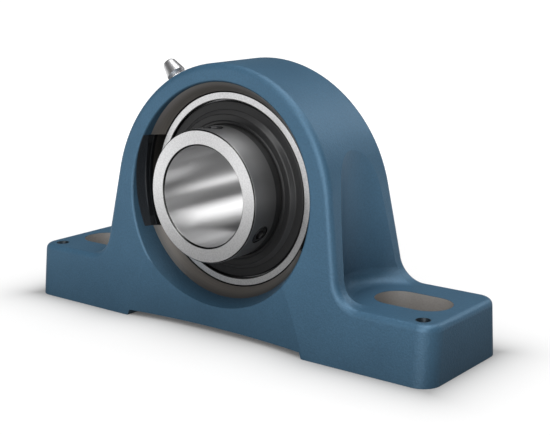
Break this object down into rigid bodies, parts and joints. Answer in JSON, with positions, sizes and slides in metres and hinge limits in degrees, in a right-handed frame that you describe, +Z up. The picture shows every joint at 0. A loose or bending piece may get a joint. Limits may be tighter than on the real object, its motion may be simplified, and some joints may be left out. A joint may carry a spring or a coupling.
{
  "type": "pillow block bearing",
  "caption": "Two-bolt pillow block: a cast housing holds a self-aligning ball bearing that carries a round shaft above its base.",
  "frame": {"origin": "on the underside of the feet, halfway between the two bolt slots and below the middle of the ball track", "axes": "+X along the base from one foot to the other, +Y along the shaft from the long end of the inner ring to the short end, +Z up"},
  "size_m": [0.152, 0.0422, 0.0809],
  "materials": {
    "housing_paint": "satin blue paint on a sand casting",
    "ring_steel": "ground",
    "ball_steel": "polished",
    "cage_steel": "pressed sheet",
    "seal_steel": "pressed sheet",
    "seal_rubber": "moulded nitrile rubber",
    "flinger_coat": "dark rubber-coated sheet",
    "black_steel": "black oxide",
    "plated_steel": "zinc plated",
    "spring_steel": "drawn wire"
  },
  "bodies": {
    "housing": {"housing": "housing_paint", "grease_nipple": "plated_steel", "nipple_spring": "spring_steel"},
    "outer_ring": {"outer_ring": "ring_steel", "seal_insert_front": "seal_steel", "seal_insert_back": "seal_steel", "seal_lip_front": "seal_rubber", "seal_lip_back": "seal_rubber"},
    "inner_ring": {"inner_ring": "ring_steel", "flinger_front": "flinger_coat", "flinger_back": "flinger_coat"},
    "cage": {"cage_front_half": "cage_steel", "cage_back_half": "cage_steel", "cage_rivets": "cage_steel"},
    "ball_1": {"ball_1": "ball_steel"},
    "ball_2": {"ball_2": "ball_steel"},
    "ball_3": {"ball_3": "ball_steel"},
    "ball_4": {"ball_4": "ball_steel"},
    "ball_5": {"ball_5": "ball_steel"},
    "ball_6": {"ball_6": "ball_steel"},
    "ball_7": {"ball_7": "ball_steel"},
    "ball_8": {"ball_8": "ball_steel"},
    "ball_9": {"ball_9": "ball_steel"},
    "grub_screw_1": {"grub_screw_1": "black_steel"},
    "grub_screw_2": {"grub_screw_2": "black_steel"},
    "nipple_check_ball": {"nipple_check_ball": "ball_steel"}
  },
  "joints": [
    {"name": "insert_alignment", "type": "hinge", "parent": "housing", "child": "outer_ring", "pos_m": [0, 0, 0.0429], "axis": [1, 0, 0], "range_deg": [-2, 2]},
    {"name": "shaft_spin", "type": "hinge", "parent": "outer_ring", "child": "inner_ring", "pos_m": [0, 0, 0.0429], "axis": [0, 1, 0], "continuous": true},
    {"name": "cage_spin", "type": "hinge", "parent": "outer_ring", "child": "cage", "pos_m": [0, 0, 0.0429], "axis": [0, 1, 0], "continuous": true},
    {"name": "ball_1_spin", "type": "hinge", "parent": "cage", "child": "ball_1", "pos_m": [0, 0, 0.0659], "axis": [0, 1, 0], "continuous": true},
    {"name": "ball_2_spin", "type": "hinge", "parent": "cage", "child": "ball_2", "pos_m": [-0.01478, 0, 0.06052], "axis": [0, 1, 0], "continuous": true},
    {"name": "ball_3_spin", "type": "hinge", "parent": "cage", "child": "ball_3", "pos_m": [-0.02265, 0, 0.04689], "axis": [0, 1, 0], "continuous": true},
    {"name": "ball_4_spin", "type": "hinge", "parent": "cage", "child": "ball_4", "pos_m": [-0.01992, 0, 0.0314], "axis": [0, 1, 0], "continuous": true},
    {"name": "ball_5_spin", "type": "hinge", "parent": "cage", "child": "ball_5", "pos_m": [-0.00787, 0, 0.02129], "axis": [0, 1, 0], "continuous": true},
    {"name": "ball_6_spin", "type": "hinge", "parent": "cage", "child": "ball_6", "pos_m": [0.00787, 0, 0.02129], "axis": [0, 1, 0], "continuous": true},
    {"name": "ball_7_spin", "type": "hinge", "parent": "cage", "child": "ball_7", "pos_m": [0.01992, 0, 0.0314], "axis": [0, 1, 0], "continuous": true},
    {"name": "ball_8_spin", "type": "hinge", "parent": "cage", "child": "ball_8", "pos_m": [0.02265, 0, 0.04689], "axis": [0, 1, 0], "continuous": true},
    {"name": "ball_9_spin", "type": "hinge", "parent": "cage", "child": "ball_9", "pos_m": [0.01478, 0, 0.06052], "axis": [0, 1, 0], "continuous": true},
    {"name": "grub_screw_1_travel", "type": "slide", "parent": "inner_ring", "child": "grub_screw_1", "axis": [0, 0, 1], "range_m": [-0.0005, 0.003]},
    {"name": "grub_screw_2_travel", "type": "slide", "parent": "inner_ring", "child": "grub_screw_2", "axis": [0.866, 0, -0.5], "range_m": [-0.0005, 0.003]},
    {"name": "nipple_valve", "type": "slide", "parent": "housing", "child": "nipple_check_ball", "axis": [0.6884, 0, -0.7254], "range_m": [0, 0.0008], "stiffness_N_per_m": 200, "springref_m": -0.002, "deforming": ["nipple_spring"]}
  ],
  "couplings": [
    {"joint": "cage_spin", "follows": "shaft_spin", "ratio": 0.39647},
    {"joint": "ball_1_spin", "follows": "shaft_spin", "ratio": -2.3112},
    {"joint": "ball_2_spin", "follows": "shaft_spin", "ratio": -2.3112},
    {"joint": "ball_3_spin", "follows": "shaft_spin", "ratio": -2.3112},
    {"joint": "ball_4_spin", "follows": "shaft_spin", "ratio": -2.3112},
    {"joint": "ball_5_spin", "follows": "shaft_spin", "ratio": -2.3112},
    {"joint": "ball_6_spin", "follows": "shaft_spin", "ratio": -2.3112},
    {"joint": "ball_7_spin", "follows": "shaft_spin", "ratio": -2.3112},
    {"joint": "ball_8_spin", "follows": "shaft_spin", "ratio": -2.3112},
    {"joint": "ball_9_spin", "follows": "shaft_spin", "ratio": -2.3112}
  ]
}
